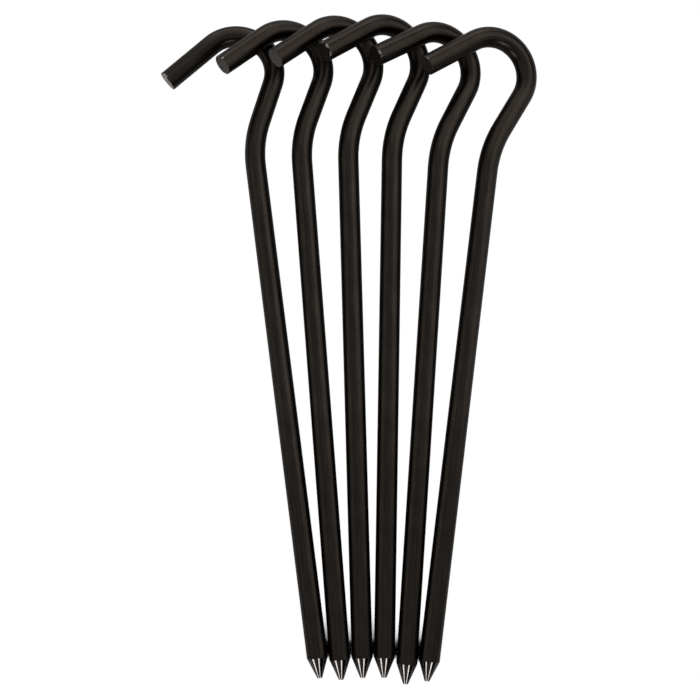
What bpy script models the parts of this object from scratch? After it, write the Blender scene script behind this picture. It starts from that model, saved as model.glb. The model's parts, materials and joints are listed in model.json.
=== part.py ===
"""Set of six hook tent stakes, lying in a fan with each hook over its left neighbour.

Every stake is the same bent rod: a turned point, a straight shaft, a reverse bend, a neck,
a hook bend and a straight arm cut off square. The hooks differ by a few degrees, and the
sixth shaft was cut a little shorter. The set lies on the ground plane, points towards -Y,
hooks towards +Y, every hook opening towards -X.
"""

import math

import bmesh
import bpy
from mathutils import Matrix, Vector

MM = 0.001

# The rod and its turned point.
ROD_RADIUS = 3.0 * MM
POINT_LENGTH = 5.8 * MM
POINT_FLAT_RADIUS = 0.7 * MM
CUT_CHAMFER = 0.25 * MM

# The bent centreline, from the point to the start of the arm.
SHAFT_LENGTH = 148.7 * MM
REVERSE_BEND_ANGLE = math.radians(24.8)
REVERSE_BEND_RADIUS = 32.0 * MM
NECK_LENGTH = 11.9 * MM
HOOK_SIDE_RADIUS = 10.9 * MM
HOOK_CROWN_RADIUS = 11.3 * MM

# How far each hook was bent in all, in degrees, and the straight arm left after it, in mm.
HOOKS = {
    "stake_1": {"bend": 149.0, "arm": 17.1},
    "stake_2": {"bend": 148.6, "arm": 16.6},
    "stake_3": {"bend": 149.7, "arm": 16.4},
    "stake_4": {"bend": 147.5, "arm": 16.9},
    "stake_5": {"bend": 147.1, "arm": 16.9},
    "stake_6": {"bend": 151.8, "arm": 16.9},
}

# How finely the round shapes are cut.
ROD_SIDES = 28
BEND_STEP = math.radians(5.0)

# The points lie side by side this far apart; the rods fan out from there, so that from the
# shoulders of the points on they are about 0.3 mm clear of each other.
POINT_SPACING = 6.06 * MM

# How each stake lies, from left to right: along is how far out its point is, in mm; in
# degrees, lean turns it flat on the ground, roll lifts its arm over the neighbour, and
# pitch raises its hook end. Trim is how much less shaft it has than the others, in mm.
LAY = {
    "stake_1": {"along": -93.75, "lean": 7.38, "roll": 4.2, "pitch": 0.25, "trim": 0.0},
    "stake_2": {"along": -94.2, "lean": 4.43, "roll": 22.2, "pitch": 1.2, "trim": 0.0},
    "stake_3": {"along": -93.7, "lean": 1.57, "roll": 24.0, "pitch": 1.45, "trim": 0.0},
    "stake_4": {"along": -93.65, "lean": -0.99, "roll": 27.0, "pitch": 1.5, "trim": 0.0},
    "stake_5": {"along": -95.45, "lean": -3.84, "roll": 25.5, "pitch": 1.3, "trim": 0.0},
    "stake_6": {"along": -94.64, "lean": -7.1, "roll": 18.2, "pitch": 1.45, "trim": 1.5},
}


def clear_scene():
    for item in list(bpy.data.objects):
        bpy.data.objects.remove(item, do_unlink=True)


def add_straight(stations, length):
    """Carry the centreline straight on by a length."""
    point, heading = stations[-1]
    ahead = Vector((math.cos(heading), math.sin(heading), 0.0))
    stations.append((point + ahead * length, heading))


def add_bend(stations, radius, angle):
    """Carry the centreline round an arc; a positive angle bends to the left."""
    point, heading = stations[-1]
    side = math.copysign(1.0, angle)
    to_centre = Vector((-math.sin(heading), math.cos(heading), 0.0)) * radius * side
    centre = point + to_centre
    steps = max(2, math.ceil(abs(angle) / BEND_STEP))
    for step in range(1, steps + 1):
        turned = angle * step / steps
        spoke = Matrix.Rotation(turned, 3, "Z") @ (-to_centre)
        stations.append((centre + spoke, heading + turned))


def stake_centreline(trim, hook):
    """Stations along the rod, each a point and a heading, starting at the shoulder."""
    stations = [(Vector((0.0, POINT_LENGTH, 0.0)), math.pi / 2)]
    add_straight(stations, SHAFT_LENGTH - trim - POINT_LENGTH)
    add_bend(stations, REVERSE_BEND_RADIUS, -REVERSE_BEND_ANGLE)
    add_straight(stations, NECK_LENGTH)
    half_bend = math.radians(hook["bend"]) / 2
    add_bend(stations, HOOK_SIDE_RADIUS, half_bend)
    add_bend(stations, HOOK_CROWN_RADIUS, half_bend)
    add_straight(stations, hook["arm"] * MM - CUT_CHAMFER)
    return stations


def add_ring(bm, point, heading, radius):
    """One circle of vertices square to the heading."""
    across = Vector((math.sin(heading), -math.cos(heading), 0.0))
    up = Vector((0.0, 0.0, 1.0))
    ring = []
    for index in range(ROD_SIDES):
        angle = 2.0 * math.pi * index / ROD_SIDES
        offset = across * math.cos(angle) + up * math.sin(angle)
        ring.append(bm.verts.new(point + offset * radius))
    return ring


def join_rings(bm, first, second):
    for index in range(ROD_SIDES):
        following = (index + 1) % ROD_SIDES
        bm.faces.new((first[index], first[following], second[following], second[index]))


def stake_mesh(name, trim, hook):
    """The whole rod as one closed skin, its point at the origin and its shaft along +Y."""
    bm = bmesh.new()
    stations = stake_centreline(trim, hook)
    rings = [add_ring(bm, Vector((0.0, 0.0, 0.0)), math.pi / 2, POINT_FLAT_RADIUS)]
    for point, heading in stations:
        rings.append(add_ring(bm, point, heading, ROD_RADIUS))
    end_point, end_heading = stations[-1]
    ahead = Vector((math.cos(end_heading), math.sin(end_heading), 0.0))
    cut_end = end_point + ahead * CUT_CHAMFER
    rings.append(add_ring(bm, cut_end, end_heading, ROD_RADIUS - CUT_CHAMFER))
    for first, second in zip(rings, rings[1:]):
        join_rings(bm, first, second)
    bm.faces.new(tuple(reversed(rings[0])))
    bm.faces.new(tuple(rings[-1]))
    bmesh.ops.recalc_face_normals(bm, faces=bm.faces)
    mesh = bpy.data.meshes.new(name)
    bm.to_mesh(mesh)
    bm.free()
    mesh.shade_smooth()
    mesh.set_sharp_from_angle(angle=math.radians(15.0))
    return mesh


def black_anodised(name):
    material = bpy.data.materials.new(name + "_black_anodised")
    material.use_nodes = True
    shader = material.node_tree.nodes["Principled BSDF"]
    shader.inputs["Base Color"].default_value = (0.025, 0.022, 0.020, 1.0)
    shader.inputs["Metallic"].default_value = 0.6
    shader.inputs["Roughness"].default_value = 0.38
    return material


def shoulder_rest_height(pitch):
    """Height of the tip that lets the shoulder behind the point touch the ground."""
    return ROD_RADIUS * math.cos(pitch) - POINT_LENGTH * math.sin(pitch)


def add_stake(name, lay, across):
    mesh = stake_mesh(name, lay["trim"] * MM, HOOKS[name])
    mesh.materials.append(black_anodised(name))
    stake = bpy.data.objects.new(name, mesh)
    bpy.context.scene.collection.objects.link(stake)
    pitch = math.radians(lay["pitch"])
    height = shoulder_rest_height(pitch)
    stake.location = (across, lay["along"] * MM, height)
    stake.rotation_mode = "YXZ"
    stake.rotation_euler = (pitch, math.radians(lay["roll"]), math.radians(lay["lean"]))
    return stake


def centre_on_ground(stakes):
    """Shift the whole set so its bounds are centred on the origin and stand on the ground."""
    bpy.context.view_layer.update()
    low = Vector((math.inf, math.inf, math.inf))
    high = Vector((-math.inf, -math.inf, -math.inf))
    for stake in stakes:
        for vertex in stake.data.vertices:
            corner = stake.matrix_world @ vertex.co
            for axis in range(3):
                low[axis] = min(low[axis], corner[axis])
                high[axis] = max(high[axis], corner[axis])
    shift = Vector((-(low.x + high.x) / 2, -(low.y + high.y) / 2, -low.z))
    for stake in stakes:
        stake.location += shift


def add_set():
    stakes = []
    for index, (name, lay) in enumerate(LAY.items()):
        stakes.append(add_stake(name, lay, index * POINT_SPACING))
    return stakes


clear_scene()
centre_on_ground(add_set())
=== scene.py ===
"""Looks of the fan of six bent-rod tent stakes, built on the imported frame.

Every stake is swept again as one fine closed skin along its CAD rod: a turned point, a drawn
shaft, the bends with the marks of their former, and an arm with its own rough cut end.
Where each rod lies and which way it points come from the frame's mounts; lengths are in metres.
"""

import json
import math

import bpy
import numpy as np
from mathutils import Matrix, Vector, noise


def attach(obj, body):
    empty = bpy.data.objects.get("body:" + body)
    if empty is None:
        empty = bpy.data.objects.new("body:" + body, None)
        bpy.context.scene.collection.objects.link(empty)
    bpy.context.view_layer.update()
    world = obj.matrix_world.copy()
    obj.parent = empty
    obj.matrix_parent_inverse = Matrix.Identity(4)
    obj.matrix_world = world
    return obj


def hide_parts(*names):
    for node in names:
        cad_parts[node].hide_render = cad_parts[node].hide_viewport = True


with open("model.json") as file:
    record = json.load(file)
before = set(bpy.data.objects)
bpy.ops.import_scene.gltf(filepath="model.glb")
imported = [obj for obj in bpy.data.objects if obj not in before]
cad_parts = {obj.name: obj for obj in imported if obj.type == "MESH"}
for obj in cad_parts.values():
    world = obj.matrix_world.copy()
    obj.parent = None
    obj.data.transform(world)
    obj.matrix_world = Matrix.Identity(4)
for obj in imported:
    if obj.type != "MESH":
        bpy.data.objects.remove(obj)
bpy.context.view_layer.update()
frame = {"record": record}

MM = 0.001

# The rod, as the CAD part has it.
ROD_RADIUS = 3.0 * MM
POINT_LENGTH = 5.8 * MM
POINT_FLAT_RADIUS = 0.7 * MM
SHAFT_LENGTH = 148.7 * MM
REVERSE_BEND_ANGLE = math.radians(24.8)
REVERSE_BEND_RADIUS = 32.0 * MM
NECK_LENGTH = 11.9 * MM
HOOK_SIDE_RADIUS = 10.9 * MM
HOOK_CROWN_RADIUS = 11.3 * MM

# How far each hook was bent in all, in degrees, and the straight arm left after it, in mm.
HOOKS = {
    "stake_1": {"bend": 149.0, "arm": 17.1},
    "stake_2": {"bend": 148.6, "arm": 16.6},
    "stake_3": {"bend": 149.7, "arm": 16.4},
    "stake_4": {"bend": 147.5, "arm": 16.9},
    "stake_5": {"bend": 147.1, "arm": 16.9},
    "stake_6": {"bend": 151.8, "arm": 16.9},
}

# Where the hook bend starts along the bar.
HOOK_START = SHAFT_LENGTH + REVERSE_BEND_RADIUS * REVERSE_BEND_ANGLE + NECK_LENGTH

# How far each stake is rolled about its own shaft, which lifts its arm over the neighbour.
ROLL = {
    "stake_1": math.radians(4.2),
    "stake_2": math.radians(22.2),
    "stake_3": math.radians(24.0),
    "stake_4": math.radians(27.0),
    "stake_5": math.radians(25.5),
    "stake_6": math.radians(18.2),
}

# How much less shaft a stake has than the others.
TRIM = {"stake_6": 1.5 * MM}

# How finely the skin is cut, and from which angle on an edge of it shows as sharp.
SIDES = 96
SHAFT_STEP = 1.5 * MM
BEND_STEP = math.radians(2.0)
CONE_STEP = 0.075 * MM
ARM_STEP = 0.5 * MM
ARM_END_STEP = 0.15 * MM
ARM_END_LENGTH = 1.5 * MM
FACE_RINGS = 18
RIM_STEPS = 6
SHARP_ANGLE = math.radians(20.0)

# Fine lines that the drawing die left along the bar. The widths are angles round the bar in
# radians, a negative share of the depth is a ridge, and each line comes and goes along the
# bar over one of the fade lengths, in mm.
DRAW_LINES = 46
DRAW_LINE_DEPTH = 0.009 * MM
DRAW_LINE_SHARES = (-0.5, 1.0)
DRAW_LINE_WIDTHS = (0.04, 0.14)
DRAW_LINE_FADES = (30.0, 120.0)

# Marks of the bending former on the inner side of the hook. The spread is an angle round the
# bar in radians, the run is a share of the hook's length on each side of its middle, and the
# dents follow noise that goes that fast round the bar, per radian, and along it, per mm. Each
# stake takes its dents from its own layer of the noise.
FORMER_DEPTH = 0.045 * MM
FORMER_SPREAD = 0.9
FORMER_RUN = 0.5
FORMER_DENTS_ROUND = 2.5
FORMER_DENTS_ALONG = 0.8
FORMER_LAYER_GAP = 9.0

# The turned point: rings round the cone, partly steady and partly uneven along it, and black
# rubbed off round the edge of the flat tip. The cone ends a small step inside the rod.
TURNING_PITCH = 0.3 * MM
TURNING_DEPTH = 0.0005 * MM
TURNING_STEADY = 0.4
TURNING_UNEVEN = 0.6
TURNING_UNEVEN_PER_MM = 1.7
TIP_RING_RADIUS = 0.3 * MM
TIP_EDGE = 0.08 * MM
TIP_BARE = 0.35
TIP_BARE_REACH = 0.25 * MM
SHOULDER_STEP = 0.03 * MM

# Which of a rod's materials a stretch of its skin takes.
ZONE_ROD = 0
ZONE_POINT = 1
ZONE_CUT = 2

# The cut ends. The first figure is how much of the finish the cut face lacks, and in part it is
# painted light and shade: faces that catch the light are made lighter and shaded ones darker;
# arcs, grain and saw are how deep its curved shear lines, its torn grain and its straight saw lines
# are, in mm. Each burr is an angle round the rim in degrees (0 is the outer side of the arm, 90 its
# top), a width in degrees and a height in mm.
CUT_ENDS = {
    "stake_1": {"bare_and_glint": 0.80, "arcs": 0.02, "grain": 0.05, "saw": 0.00,
                "burrs": [(60, 7, 0.42), (78, 5, 0.30), (24, 5, 0.12)]},
    "stake_2": {"bare_and_glint": 0.21, "arcs": 0.04, "grain": 0.05, "saw": 0.00,
                "burrs": [(60, 4, 0.30), (8, 10, 0.10), (26, 4, 0.13)]},
    "stake_3": {"bare_and_glint": 0.20, "arcs": 0.02, "grain": 0.04, "saw": 0.00, "burrs": []},
    "stake_4": {"bare_and_glint": 0.015, "arcs": 0.03, "grain": 0.12, "saw": 0.05,
                "burrs": [(4, 3, 0.12), (18, 3, 0.14), (32, 3, 0.16), (66, 4, 0.34), (78, 3, 0.16),
                          (112, 5, 0.16), (126, 4, 0.20)]},
    "stake_5": {"bare_and_glint": 0.005, "arcs": 0.06, "grain": 0.10, "saw": 0.00,
                "burrs": [(74, 4, 0.20), (86, 4, 0.22), (104, 4, 0.08)]},
    "stake_6": {"bare_and_glint": 0.10, "arcs": 0.00, "grain": 0.05, "saw": 0.04,
                "burrs": [(34, 9, 0.07), (58, 7, 0.06)]},
}

# How much barer the cut face is for each mm it stands out, and between which limits; it scales the face's
# bareness, which is in part painted light and shade.
FACE_BARE_AND_GLINT_PER_MM = 7.0
FACE_BARE_AND_GLINT_LIMITS = (0.2, 3.0)

# The pattern of a cut face, on a plane in mm. Waves are in radians per mm, a wander is how
# far noise shifts them, and each pattern takes its noise from its own layer.
SHEAR_CENTRE = (4.5, -1.0)
SHEAR_WAVE = 5.0
SHEAR_WANDER = 1.5
SHEAR_LAYER = 3.0
SAW_DIRECTION = (0.8, 0.6)
SAW_WAVE = 5.5
SAW_WANDER = 1.2
SAW_LAYER = 7.0
GRAIN_SCALE = 2.2

# The rounded rim of a cut end. It is barer by a share of the face's bareness, less than the face,
# and in part painted highlight; the outer rings of the face blend into it.
RIM_ROUND = 0.16 * MM
RIM_BARE_AND_GLINT_SHARE = 0.5
RIM_BLEND_RINGS = 2.0

# How far a burr is rolled back along the rod, how much of its height thickens the rod there,
# and the heights at which it is quite uncoated on the rim and on the rod. The uncoated burrs are in
# part painted highlights, set where the rim's edge catches the light.
BURR_REACH = 0.3 * MM
BURR_SWELL = 0.3
BURR_BARE_AND_GLINT_ON_RIM = 0.12 * MM
BURR_BARE_AND_GLINT_ON_ROD = 0.3 * MM

# Colours are linear red, green and blue. Each pair runs from the darker to the lighter
# patches; the bar has one pair in its drawn grooves and one on the ridges between them.
WHITE = (1.0, 1.0, 1.0)
BARE_ALUMINIUM = (0.62, 0.60, 0.57)
BAR_GROOVE_BLACKS = ((0.0295, 0.0239, 0.0198), (0.0415, 0.0346, 0.0288))
BAR_RIDGE_BLACKS = ((0.0395, 0.0326, 0.0272), (0.0555, 0.0466, 0.0392))
POINT_BLACKS = ((0.090, 0.081, 0.075), (0.150, 0.139, 0.132))
CUT_BLACKS = ((0.012, 0.0095, 0.0072), (0.032, 0.0262, 0.0208))

# Noise stays mostly between these two values. The colour of the drawn lines takes a narrower
# band, for more contrast.
NOISE_BAND = (0.3, 0.7)
LINES_BAND = (0.35, 0.65)

# The camera looks down on the set, tilted a little from the points' side. Its sensor and lens
# are in mm.
CAMERA_AIM = Vector((0.24, -1.13, 0.0)) * MM
CAMERA_DISTANCE = 420.0 * MM
CAMERA_TILT = math.radians(6.0)
SENSOR_WIDTH = 36.0
LENS = 73.93
CLIP_START = 0.01
CLIP_END = 20.0

# The white floor, so bright that it shows full white, and the sheet over it that throws
# light back at the rods and is not seen itself.
FLOOR_HALF_WIDTH = 6.0
FLOOR_LEVEL = -0.12 * MM
FLOOR_COLOUR = (0.03, 0.03, 0.03)
FLOOR_ROUGHNESS = 0.9
FLOOR_GLOW = 1.0
BOUNCE_LEVEL = -0.05 * MM
BOUNCE_COLOUR = (0.79, 0.80, 0.82)

# Between the points, where the rods touch, a small sheet over the floor carries painted shade:
# it glows only as far as the sky above it is open, dark below SLIT_DARK_SHARE of open sky and
# full white above SLIT_OPEN_SHARE, a painted contact shadow in the slits between the rods.
POINTS_CENTRE = (7.0 * MM, -80.0 * MM)
POINTS_HALF_WIDTH = 26.0 * MM
POINTS_LEVEL = -0.10 * MM
SLIT_REACH = 4.0 * MM
SLIT_SAMPLES = 128
SLIT_DARK_SHARE = 0.125
SLIT_OPEN_SHARE = 0.185

# The rods touch at the shoulders of their points, and the CAD keeps them just apart, so there
# the painted shade is made darker still: the sheet counts some of the sky as closed. Away from the
# points it fades into the floor.
PAINTED_TOUCH_SHADE = 0.08
TOUCH_FROM = -84.0 * MM
TOUCH_TO = -88.0 * MM
FADE_FROM = -72.0 * MM
FADE_TO = -57.0 * MM

# The softboxes: a name, the place it faces, the direction it stands in from there, its
# distance, its width and height, and its power in watts. They stand overhead and all round
# the set, the rims light its two sides from low down, and the two narrow streak boxes make
# the two bright lines on each cone.
MIDDLE = (0.0, 0.0, 0.0)
POINTS = (6.5 * MM, -96.0 * MM, 3.0 * MM)
SOFTBOXES = [
    ("overhead", MIDDLE, (0.0, 0.0, 1.0), 1.0, (0.9, 0.9), 1.02),
    ("left", MIDDLE, (-0.80, -0.10, 0.58), 1.0, (0.9, 0.9), 1.00),
    ("right", MIDDLE, (0.80, -0.10, 0.58), 1.0, (0.9, 0.9), 0.87),
    ("back", MIDDLE, (0.0, 0.75, 0.65), 1.0, (0.9, 0.9), 2.05),
    ("front", MIDDLE, (0.0, -0.75, 0.65), 1.0, (0.9, 0.9), 0.35),
    ("back_right", MIDDLE, (0.62, 0.40, 0.68), 1.0, (0.7, 0.7), 1.45),
    ("back_left", MIDDLE, (-0.62, 0.40, 0.68), 1.0, (0.7, 0.7), 0.43),
    ("back_low", MIDDLE, (0.0, 1.0, 0.25), 1.0, (1.2, 0.3), 1.76),
    ("rim_left", MIDDLE, (-1.0, 0.0, 0.12), 0.8, (0.2, 1.0), 0.20),
    ("rim_right", MIDDLE, (1.0, 0.0, 0.12), 0.8, (0.2, 1.0), 0.38),
    ("streak_left", POINTS, (-0.555, -0.740, 0.379), 0.8, (0.12, 0.24), 0.80),
    ("streak_right", POINTS, (0.316, -0.775, 0.548), 0.8, (0.12, 0.24), 0.80),
]


# ---------------------------------------------------------------- the centreline of one rod

def add_straight(stations, length, step):
    """Carry the centreline straight on by a length, in even steps."""
    along, point, heading = stations[-1]
    ahead = Vector((math.cos(heading), math.sin(heading), 0.0))
    steps = max(1, math.ceil(length / step))
    for index in range(1, steps + 1):
        gone = length * index / steps
        stations.append((along + gone, point + ahead * gone, heading))


def add_bend(stations, radius, angle):
    """Carry the centreline round an arc; a positive angle bends to the left."""
    along, point, heading = stations[-1]
    side = math.copysign(1.0, angle)
    to_centre = Vector((-math.sin(heading), math.cos(heading), 0.0)) * radius * side
    steps = math.ceil(abs(angle) / BEND_STEP)
    for index in range(1, steps + 1):
        turned = angle * index / steps
        spoke = Matrix.Rotation(turned, 3, "Z") @ (-to_centre)
        gone = radius * abs(turned)
        stations.append((along + gone, point + to_centre + spoke, heading + turned))


def rod_stations(trim, hook):
    """Stations from the shoulder to the rim of the cut end: distance along, point, heading.

    The distance counts from where the point of an untrimmed stake would be, so that the hook
    bend starts at the same distance along every stake.
    """
    stations = [(POINT_LENGTH + trim, Vector((0.0, POINT_LENGTH, 0.0)), math.pi / 2)]
    add_straight(stations, SHAFT_LENGTH - trim - POINT_LENGTH, SHAFT_STEP)
    add_bend(stations, REVERSE_BEND_RADIUS, -REVERSE_BEND_ANGLE)
    add_straight(stations, NECK_LENGTH, SHAFT_STEP)
    half_bend = math.radians(hook["bend"]) / 2
    add_bend(stations, HOOK_SIDE_RADIUS, half_bend)
    add_bend(stations, HOOK_CROWN_RADIUS, half_bend)
    add_straight(stations, hook["arm"] * MM - RIM_ROUND - ARM_END_LENGTH, ARM_STEP)
    add_straight(stations, ARM_END_LENGTH, ARM_END_STEP)
    return stations


# ---------------------------------------------------------------- the skin of one rod

ANGLES = np.arange(SIDES) * 2.0 * math.pi / SIDES
NOTHING = np.zeros(SIDES)


def all_round(value):
    """The same value for every vertex of a ring."""
    return np.full(SIDES, value)


def crumpled(place, falloff, octaves):
    """Layered noise, each layer twice as fine as the one before."""
    return noise.fractal(place, falloff, 2.0, octaves)


def angle_gap(first, second):
    """Smallest difference of two angles, with its sign."""
    return (first - second + math.pi) % (2.0 * math.pi) - math.pi


class Skin:
    """Rings of vertices along a rod, joined into one closed mesh."""

    def __init__(self):
        self.points = []
        self.bar_places = []
        self.bare_and_glint = []
        self.faces = []
        self.zones = []
        self.last_ring = None

    def add_point(self, point, bar_place, bare_and_glint):
        self.points.append(point)
        self.bar_places.append(bar_place)
        self.bare_and_glint.append(bare_and_glint)
        return len(self.points) - 1

    def add_ring(self, along, centre, heading, radii, pushes, bare_and_glint, zone):
        """One ring square to the heading, joined to the ring before it.

        Pushes move its vertices along the heading; the zone is for the new band of faces.
        """
        across = np.array((math.sin(heading), -math.cos(heading), 0.0))
        ahead = np.array((math.cos(heading), math.sin(heading), 0.0))
        up = np.array((0.0, 0.0, 1.0))
        ring = []
        for index, angle in enumerate(ANGLES):
            spoke = across * math.cos(angle) + up * math.sin(angle)
            point = np.array(centre) + spoke * radii[index] + ahead * pushes[index]
            place = (radii[index] * math.cos(angle), radii[index] * math.sin(angle), along)
            ring.append(self.add_point(point, place, bare_and_glint[index]))
        if self.last_ring is not None:
            for index in range(SIDES):
                following = (index + 1) % SIDES
                self.faces.append(
                    (self.last_ring[following], self.last_ring[index], ring[index], ring[following])
                )
                self.zones.append(zone)
        self.last_ring = ring

    def close_start(self, point, bar_place, bare_and_glint, zone):
        """Close the first ring with a fan; call it straight after the first ring."""
        centre = self.add_point(point, bar_place, bare_and_glint)
        for index in range(SIDES):
            following = (index + 1) % SIDES
            self.faces.append((centre, self.last_ring[index], self.last_ring[following]))
            self.zones.append(zone)

    def close_end(self, point, bar_place, bare_and_glint, zone):
        """Close the last ring with a fan."""
        centre = self.add_point(point, bar_place, bare_and_glint)
        for index in range(SIDES):
            following = (index + 1) % SIDES
            self.faces.append((centre, self.last_ring[following], self.last_ring[index]))
            self.zones.append(zone)

    def mesh(self, name):
        mesh = bpy.data.meshes.new(name)
        mesh.from_pydata([tuple(point) for point in self.points], [], self.faces)
        mesh.polygons.foreach_set("material_index", self.zones)
        places = mesh.attributes.new("bar_place", "FLOAT_VECTOR", "POINT")
        places.data.foreach_set("vector", np.array(self.bar_places).ravel())
        bare_and_glint = mesh.attributes.new("bare_and_glint", "FLOAT", "POINT")
        bare_and_glint.data.foreach_set("value", self.bare_and_glint)
        mesh.update()
        return mesh


def draw_lines(random):
    """Random drawn lines along the bar: each one's place round it, width, depth and fade."""
    lines = []
    for _ in range(DRAW_LINES):
        lines.append({
            "angle": random.uniform(0.0, 2.0 * math.pi),
            "width": random.uniform(*DRAW_LINE_WIDTHS),
            "depth": DRAW_LINE_DEPTH * random.uniform(*DRAW_LINE_SHARES),
            "fade_length": random.uniform(*DRAW_LINE_FADES) * MM,
            "fade_start": random.uniform(0.0, 2.0 * math.pi),
        })
    return lines


def drawn_radii(lines, along):
    """Radius round the bar at one place along it, with the drawn lines."""
    radii = all_round(ROD_RADIUS)
    for line in lines:
        gap = angle_gap(ANGLES, line["angle"])
        share = 0.5 + 0.5 * math.sin(along / line["fade_length"] * 2.0 * math.pi + line["fade_start"])
        radii -= line["depth"] * share * np.exp(-(gap / line["width"]) ** 2)
    return radii


def former_marks(seed, along, hook):
    """How deep the bending former pressed the inner side of the hook, round one ring."""
    length = (HOOK_SIDE_RADIUS + HOOK_CROWN_RADIUS) * math.radians(hook["bend"]) / 2
    in_bend = math.exp(-((along - HOOK_START - length / 2) / length / FORMER_RUN) ** 4)
    inside = np.exp(-(angle_gap(ANGLES, math.pi) / FORMER_SPREAD) ** 2)
    along_dents = along / MM * FORMER_DENTS_ALONG
    layer = seed * FORMER_LAYER_GAP
    dents = []
    for angle in ANGLES:
        place = (angle * FORMER_DENTS_ROUND, along_dents, layer)
        dents.append(max(0.0, crumpled(place, falloff=0.9, octaves=3)))
    return FORMER_DEPTH * in_bend * inside * np.array(dents)


def add_turned_point(skin):
    """The flat tip and the cone, with turning marks round it."""
    tip = (0.0, 0.0, 0.0)
    heading = math.pi / 2
    skin.add_ring(0.0, tip, heading, all_round(TIP_RING_RADIUS), NOTHING, NOTHING, ZONE_POINT)
    skin.close_start(tip, tip, 0.0, ZONE_POINT)
    skin.add_ring(0.0, tip, heading, all_round(POINT_FLAT_RADIUS - TIP_EDGE), NOTHING,
                  all_round(TIP_BARE), ZONE_POINT)
    slope = (ROD_RADIUS - POINT_FLAT_RADIUS) / POINT_LENGTH
    steps = round(POINT_LENGTH / CONE_STEP)
    for index in range(1, steps):
        along = POINT_LENGTH * index / steps
        mark = math.sin(2.0 * math.pi * along / TURNING_PITCH)
        uneven = noise.noise((along / MM * TURNING_UNEVEN_PER_MM, 0.0, 0.0))
        mark *= TURNING_STEADY + TURNING_UNEVEN * uneven
        radius = POINT_FLAT_RADIUS + slope * along + TURNING_DEPTH * mark
        radius = min(radius, ROD_RADIUS - SHOULDER_STEP)
        bare_and_glint = TIP_BARE * math.exp(-(along / TIP_BARE_REACH))
        skin.add_ring(along, (0.0, along, 0.0), heading, all_round(radius), NOTHING,
                      all_round(bare_and_glint), ZONE_POINT)


def cut_relief(cut, radius, angle):
    """How far the cut face stands out at a place on it, in metres."""
    x = radius * math.cos(angle) / MM
    y = radius * math.sin(angle) / MM
    from_centre = math.hypot(x - SHEAR_CENTRE[0], y - SHEAR_CENTRE[1])
    shear_shift = SHEAR_WANDER * noise.noise((x, y, SHEAR_LAYER))
    arcs = cut["arcs"] * math.sin(from_centre * SHEAR_WAVE + shear_shift)
    grain = cut["grain"] * crumpled((x * GRAIN_SCALE, y * GRAIN_SCALE, 0.0), falloff=1.0, octaves=4)
    across_saw = x * SAW_DIRECTION[0] + y * SAW_DIRECTION[1]
    saw_shift = SAW_WANDER * noise.noise((x, y, SAW_LAYER))
    saw = cut["saw"] * math.sin(across_saw * SAW_WAVE + saw_shift)
    return (arcs + grain + saw) * MM


def burr_height(cut, angle):
    """How high the burrs stand at one angle round the rim."""
    height = 0.0
    for burr_angle, width, tall in cut["burrs"]:
        gap = math.degrees(angle_gap(angle, math.radians(burr_angle)))
        height += tall * MM * math.exp(-(gap / width) ** 2)
    return height


def burr_heights(cut):
    """How high the burrs stand, all round the rim."""
    return np.array([burr_height(cut, angle) for angle in ANGLES])


def rolled_burrs(cut, from_end):
    """How far the burrs are rolled back over the rod, round one ring near its cut end."""
    return burr_heights(cut) * math.exp(-(from_end / BURR_REACH) ** 2)


def add_cut_end(skin, cut, station, radii):
    """The rolled rim with its burrs, then the cut face in rings down to its middle."""
    along, centre, heading = station
    ahead = Vector((math.cos(heading), math.sin(heading), 0.0))
    end = centre + ahead * RIM_ROUND
    burrs = burr_heights(cut)
    # Burrs show uncoated metal on the rim, in part as painted highlights.
    burr_bare_and_glint = np.clip(burrs / BURR_BARE_AND_GLINT_ON_RIM, 0.0, 1.0)
    for step in range(1, RIM_STEPS):
        share = step / RIM_STEPS
        turned = share * math.pi / 2
        drop = RIM_ROUND * (1.0 - math.cos(turned))
        gone = RIM_ROUND * math.sin(turned)
        pushes = burrs * share ** 2
        bare_and_glint = burr_bare_and_glint * share + cut["bare_and_glint"] * RIM_BARE_AND_GLINT_SHARE * share
        skin.add_ring(along + gone, centre + ahead * gone, heading, radii - drop, pushes, bare_and_glint, ZONE_ROD)
    for index in range(FACE_RINGS):
        share = 1.0 - index / FACE_RINGS
        ring_radii = (radii - RIM_ROUND) * share
        relief = np.array([cut_relief(cut, radius, angle) for radius, angle in zip(ring_radii, ANGLES)])
        off_rim = min(1.0, index / RIM_BLEND_RINGS)
        near_rim = 1.0 - off_rim
        pushes = relief * off_rim + burrs * near_rim
        # The face's bareness, with its painted light and shade, grows where the face stands out.
        face_bare_and_glint = cut["bare_and_glint"] * np.clip(1.0 + FACE_BARE_AND_GLINT_PER_MM * relief / MM, *FACE_BARE_AND_GLINT_LIMITS)
        bare_and_glint = np.maximum(np.minimum(face_bare_and_glint, 1.0), burr_bare_and_glint * near_rim)
        skin.add_ring(along + RIM_ROUND, end, heading, ring_radii, pushes, bare_and_glint, ZONE_CUT)
    skin.close_end(end, (0.0, 0.0, along + RIM_ROUND), cut["bare_and_glint"], ZONE_CUT)


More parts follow.
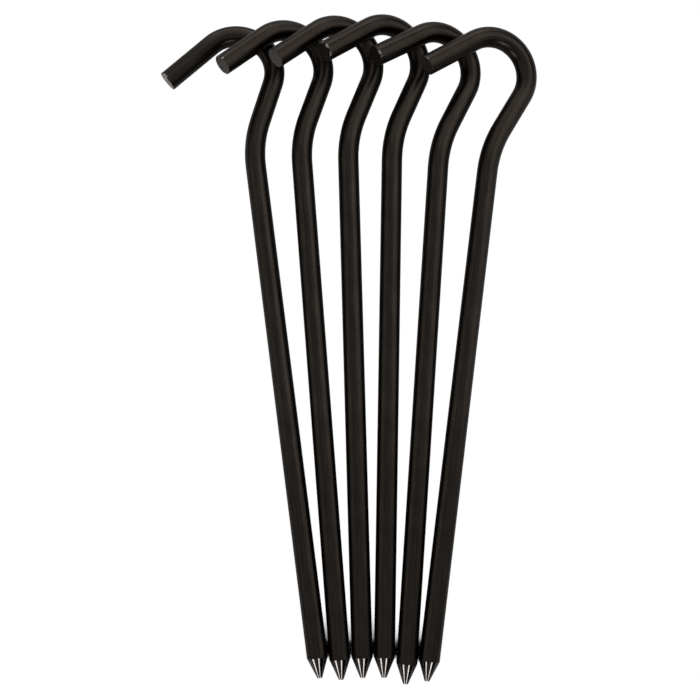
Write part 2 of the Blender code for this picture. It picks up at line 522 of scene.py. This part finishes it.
def rod_mesh(name, seed):
    """The whole rod in its own frame: its tip at the origin, its shaft along +Y."""
    hook = HOOKS[name]
    cut = CUT_ENDS[name]
    lines = draw_lines(np.random.default_rng(seed))
    skin = Skin()
    add_turned_point(skin)
    stations = rod_stations(TRIM.get(name, 0.0), hook)
    end_along = stations[-1][0]
    for along, centre, heading in stations:
        rolled = rolled_burrs(cut, end_along - along)
        radii = drawn_radii(lines, along) - former_marks(seed, along, hook) + rolled * BURR_SWELL
        # Rolled burrs show uncoated metal on the rod, in part as painted highlights.
        bare_and_glint = np.clip(rolled / BURR_BARE_AND_GLINT_ON_ROD, 0.0, 1.0)
        skin.add_ring(along, centre, heading, radii, NOTHING, bare_and_glint, ZONE_ROD)
    add_cut_end(skin, cut, stations[-1], radii)
    mesh = skin.mesh(name + "_rod")
    mesh.shade_smooth()
    mesh.set_sharp_from_angle(angle=SHARP_ANGLE)
    return mesh


# ---------------------------------------------------------------- materials

def new_material(name):
    material = bpy.data.materials.new(name)
    material.use_nodes = True
    return material, material.node_tree, material.node_tree.nodes["Principled BSDF"]


def attribute(tree, name, output):
    node = tree.nodes.new("ShaderNodeAttribute")
    node.attribute_name = name
    return node.outputs[output]


def stretched(tree, vector, scale):
    """The same vector with each axis scaled."""
    node = tree.nodes.new("ShaderNodeVectorMath")
    node.operation = "MULTIPLY"
    node.inputs[1].default_value = scale
    tree.links.new(vector, node.inputs[0])
    return node.outputs["Vector"]


def noise_value(tree, vector, scale, detail, roughness=0.5):
    node = tree.nodes.new("ShaderNodeTexNoise")
    node.inputs["Scale"].default_value = scale
    node.inputs["Detail"].default_value = detail
    node.inputs["Roughness"].default_value = roughness
    tree.links.new(vector, node.inputs["Vector"])
    return node.outputs["Fac"]


def mapped(tree, value, from_low, from_high, to_low, to_high):
    node = tree.nodes.new("ShaderNodeMapRange")
    node.inputs["From Min"].default_value = from_low
    node.inputs["From Max"].default_value = from_high
    node.inputs["To Min"].default_value = to_low
    node.inputs["To Max"].default_value = to_high
    tree.links.new(value, node.inputs["Value"])
    return node.outputs["Result"]


def from_noise(tree, value, low, high):
    """Noise, spread over the span between two values."""
    return mapped(tree, value, *NOISE_BAND, low, high)


def calculated(tree, operation, first, second):
    """The sum or the difference of two sockets."""
    node = tree.nodes.new("ShaderNodeMath")
    node.operation = operation
    tree.links.new(first, node.inputs[0])
    tree.links.new(second, node.inputs[1])
    return node.outputs[0]


def mixed_colours(tree, factor, first, second):
    """Mix two colours, each a colour or a socket."""
    node = tree.nodes.new("ShaderNodeMix")
    node.data_type = "RGBA"
    tree.links.new(factor, node.inputs["Factor"])
    for socket, colour in ((node.inputs[6], first), (node.inputs[7], second)):
        if isinstance(colour, tuple):
            socket.default_value = (*colour, 1.0)
        else:
            tree.links.new(colour, socket)
    return node.outputs[2]


def mixed_values(tree, factor, first, second):
    """Mix two values, each a number or a socket."""
    node = tree.nodes.new("ShaderNodeMix")
    node.data_type = "FLOAT"
    tree.links.new(factor, node.inputs["Factor"])
    for socket, value in ((node.inputs[2], first), (node.inputs[3], second)):
        if isinstance(value, float):
            socket.default_value = value
        else:
            tree.links.new(value, socket)
    return node.outputs[0]


def bumped(tree, height, distance, strength, under=None):
    """The surface direction over a relief of that depth, on top of another if there is one."""
    node = tree.nodes.new("ShaderNodeBump")
    node.inputs["Distance"].default_value = distance
    node.inputs["Strength"].default_value = strength
    tree.links.new(height, node.inputs["Height"])
    if under is not None:
        tree.links.new(under, node.inputs["Normal"])
    return node.outputs["Normal"]


def black_anodised():
    """Satin black anodising over a drawn bar, worn through where the bareness says so; by the cut ends
    that is in part painted highlight.
    """
    material, tree, shader = new_material("black_anodised_bar")
    place = attribute(tree, "bar_place", "Vector")
    bare_and_glint = attribute(tree, "bare_and_glint", "Fac")
    along_bar = stretched(tree, place, (1.0, 1.0, 0.012))
    lines = noise_value(tree, along_bar, scale=2600.0, detail=3.0, roughness=0.6)
    long_clouds = stretched(tree, place, (1.0, 1.0, 0.35))
    clouds = noise_value(tree, long_clouds, scale=420.0, detail=4.0)
    grain = noise_value(tree, place, scale=9000.0, detail=2.0)
    tone = from_noise(tree, clouds, 0.0, 1.0)
    grooves = mixed_colours(tree, tone, *BAR_GROOVE_BLACKS)
    ridges = mixed_colours(tree, tone, *BAR_RIDGE_BLACKS)
    on_ridge = mapped(tree, lines, *LINES_BAND, 0.0, 1.0)
    black = mixed_colours(tree, on_ridge, grooves, ridges)
    tree.links.new(mixed_colours(tree, bare_and_glint, black, BARE_ALUMINIUM), shader.inputs["Base Color"])
    satin = from_noise(tree, lines, 0.26, 0.36)
    tree.links.new(mixed_values(tree, bare_and_glint, satin, 0.36), shader.inputs["Roughness"])
    relief = bumped(tree, lines, distance=0.018 * MM, strength=1.0)
    relief = bumped(tree, grain, distance=0.004 * MM, strength=1.0, under=relief)
    tree.links.new(relief, shader.inputs["Normal"])
    shader.inputs["Metallic"].default_value = 1.0
    return material


def turned_black():
    """The cone: the same black, cut smooth on a lathe, with rings round it."""
    material, tree, shader = new_material("black_turned_point")
    place = attribute(tree, "bar_place", "Vector")
    bare_and_glint = attribute(tree, "bare_and_glint", "Fac")
    round_cone = stretched(tree, place, (0.02, 0.02, 1.0))
    rings = noise_value(tree, round_cone, scale=5200.0, detail=3.0)
    tone = noise_value(tree, place, scale=700.0, detail=3.0)
    black = mixed_colours(tree, tone, *POINT_BLACKS)
    tree.links.new(mixed_colours(tree, bare_and_glint, black, BARE_ALUMINIUM), shader.inputs["Base Color"])
    tree.links.new(from_noise(tree, rings, 0.12, 0.17), shader.inputs["Roughness"])
    relief = bumped(tree, rings, distance=0.0008 * MM, strength=1.0)
    tree.links.new(relief, shader.inputs["Normal"])
    shader.inputs["Metallic"].default_value = 1.0
    return material


def cut_metal():
    """The cut face: torn metal, dull where the black covers it and grey where it doesn't; its grey is in
    part painted light and shade.
    """
    material, tree, shader = new_material("cut_end")
    place = attribute(tree, "bar_place", "Vector")
    bare_and_glint = attribute(tree, "bare_and_glint", "Fac")
    grain = noise_value(tree, place, scale=2600.0, detail=4.0, roughness=0.65)
    patches = noise_value(tree, place, scale=900.0, detail=3.0)
    black = mixed_colours(tree, from_noise(tree, patches, 0.0, 1.0), *CUT_BLACKS)
    tree.links.new(mixed_colours(tree, bare_and_glint, black, BARE_ALUMINIUM), shader.inputs["Base Color"])
    tree.links.new(from_noise(tree, grain, 0.42, 0.6), shader.inputs["Roughness"])
    relief = bumped(tree, grain, distance=0.02 * MM, strength=0.8)
    tree.links.new(relief, shader.inputs["Normal"])
    shader.inputs["Metallic"].default_value = 0.95
    return material


# ---------------------------------------------------------------- the set

def lay_matrix(name):
    """Where a rod lies: its tip and direction from its point mount, then its own roll."""
    mounts = {mount["name"]: mount for mount in frame["record"]["mounts"]}
    mount = mounts[name.replace("stake", "point")]
    forward = -Vector(mount["axis"]).normalized()
    lean = math.atan2(-forward.x, forward.y)
    pitch = math.asin(forward.z)
    turn = Matrix.Rotation(lean, 4, "Z") @ Matrix.Rotation(pitch, 4, "X")
    return Matrix.Translation(mount["pos_m"]) @ turn @ Matrix.Rotation(ROLL[name], 4, "Y")


def add_stakes():
    materials = [black_anodised(), turned_black(), cut_metal()]
    for seed, name in enumerate(ROLL):
        mesh = rod_mesh(name, seed)
        mesh.transform(lay_matrix(name))
        for material in materials:
            mesh.materials.append(material)
        rod = bpy.data.objects.new(name + "_rod", mesh)
        bpy.context.scene.collection.objects.link(rod)
        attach(rod, name)
        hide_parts(name)


# ---------------------------------------------------------------- floor, light and camera

def floor_sheet(name, level, colour, centre=(0.0, 0.0), half_width=FLOOR_HALF_WIDTH):
    """A matt square sheet, lying flat at a level."""
    mesh = bpy.data.meshes.new(name)
    left = centre[0] - half_width
    right = centre[0] + half_width
    front = centre[1] - half_width
    behind = centre[1] + half_width
    corners = [(left, front, level), (right, front, level), (right, behind, level), (left, behind, level)]
    mesh.from_pydata(corners, [], [(0, 1, 2, 3)])
    sheet = bpy.data.objects.new(name, mesh)
    bpy.context.scene.collection.objects.link(sheet)
    material, _, shader = new_material(name)
    shader.inputs["Base Color"].default_value = (*colour, 1.0)
    shader.inputs["Roughness"].default_value = FLOOR_ROUGHNESS
    shader.inputs["Specular IOR Level"].default_value = 0.0
    mesh.materials.append(material)
    return sheet


def make_glow(sheet):
    """Let a sheet glow full white to the camera, without lighting or mirroring in the rods."""
    shader = sheet.data.materials[0].node_tree.nodes["Principled BSDF"]
    shader.inputs["Emission Color"].default_value = (*WHITE, 1.0)
    shader.inputs["Emission Strength"].default_value = FLOOR_GLOW
    sheet.visible_glossy = False
    sheet.visible_diffuse = False


def paint_slit_shade(sheet):
    """Paint shade on a sheet: take away its glow where little of the sky above it is open."""
    tree = sheet.data.materials[0].node_tree
    openness = tree.nodes.new("ShaderNodeAmbientOcclusion")
    openness.samples = SLIT_SAMPLES
    openness.inputs["Distance"].default_value = SLIT_REACH
    geometry = tree.nodes.new("ShaderNodeNewGeometry")
    place = tree.nodes.new("ShaderNodeSeparateXYZ")
    tree.links.new(geometry.outputs["Position"], place.inputs["Vector"])
    # Painted extra shade at the shoulders, darker than the open sky there calls for.
    closed = mapped(tree, place.outputs["Y"], TOUCH_FROM, TOUCH_TO, 0.0, PAINTED_TOUCH_SHADE)
    faded = mapped(tree, place.outputs["Y"], FADE_FROM, FADE_TO, 0.0, 1.0)
    still_open = calculated(tree, "SUBTRACT", openness.outputs["AO"], closed)
    still_open = calculated(tree, "ADD", still_open, faded)
    glow = mapped(tree, still_open, SLIT_DARK_SHARE, SLIT_OPEN_SHARE, 0.0, FLOOR_GLOW)
    tree.links.new(glow, tree.nodes["Principled BSDF"].inputs["Emission Strength"])


def add_floor():
    """One sheet throws light back at the rods; the other two are the white that is seen, the small one
    with painted shade between the points.
    """
    bounce = floor_sheet("floor_bounce", BOUNCE_LEVEL, BOUNCE_COLOUR)
    bounce.visible_camera = False
    bounce.visible_shadow = False
    make_glow(floor_sheet("floor", FLOOR_LEVEL, FLOOR_COLOUR))
    painted_shade_sheet = floor_sheet("floor_painted_shade", POINTS_LEVEL, FLOOR_COLOUR,
                            POINTS_CENTRE, POINTS_HALF_WIDTH)
    make_glow(painted_shade_sheet)
    paint_slit_shade(painted_shade_sheet)


def add_softbox(name, centre, direction, distance, size, power):
    """A rectangular light that far from a centre in a direction, facing the centre."""
    light = bpy.data.lights.new(name, "AREA")
    light.shape = "RECTANGLE"
    light.size, light.size_y = size
    light.energy = power
    lamp = bpy.data.objects.new(name, light)
    towards = Vector(direction).normalized()
    lamp.location = Vector(centre) + towards * distance
    lamp.rotation_mode = "QUATERNION"
    lamp.rotation_quaternion = towards.to_track_quat("Z", "Y")
    bpy.context.scene.collection.objects.link(lamp)


def add_lights():
    for softbox in SOFTBOXES:
        add_softbox(*softbox)


def add_backdrop_light():
    """A white world that the camera sees past the floor; the softboxes do the lighting."""
    world = bpy.data.worlds.new("studio")
    world.use_nodes = True
    background = world.node_tree.nodes["Background"]
    background.inputs["Color"].default_value = (*WHITE, 1.0)
    background.inputs["Strength"].default_value = 1.0
    world.cycles_visibility.glossy = False
    world.cycles_visibility.diffuse = False
    bpy.context.scene.world = world
    bpy.context.scene.view_settings.view_transform = "Standard"


def add_camera():
    camera = bpy.data.cameras.new("camera")
    camera.sensor_width = SENSOR_WIDTH
    camera.lens = LENS
    camera.clip_start = CLIP_START
    camera.clip_end = CLIP_END
    holder = bpy.data.objects.new("camera", camera)
    back = Vector((0.0, -math.sin(CAMERA_TILT), math.cos(CAMERA_TILT)))
    holder.location = CAMERA_AIM + back * CAMERA_DISTANCE
    holder.rotation_euler = (CAMERA_TILT, 0.0, 0.0)
    bpy.context.scene.collection.objects.link(holder)
    bpy.context.scene.camera = holder


add_stakes()
add_floor()
add_lights()
add_backdrop_light()
add_camera()
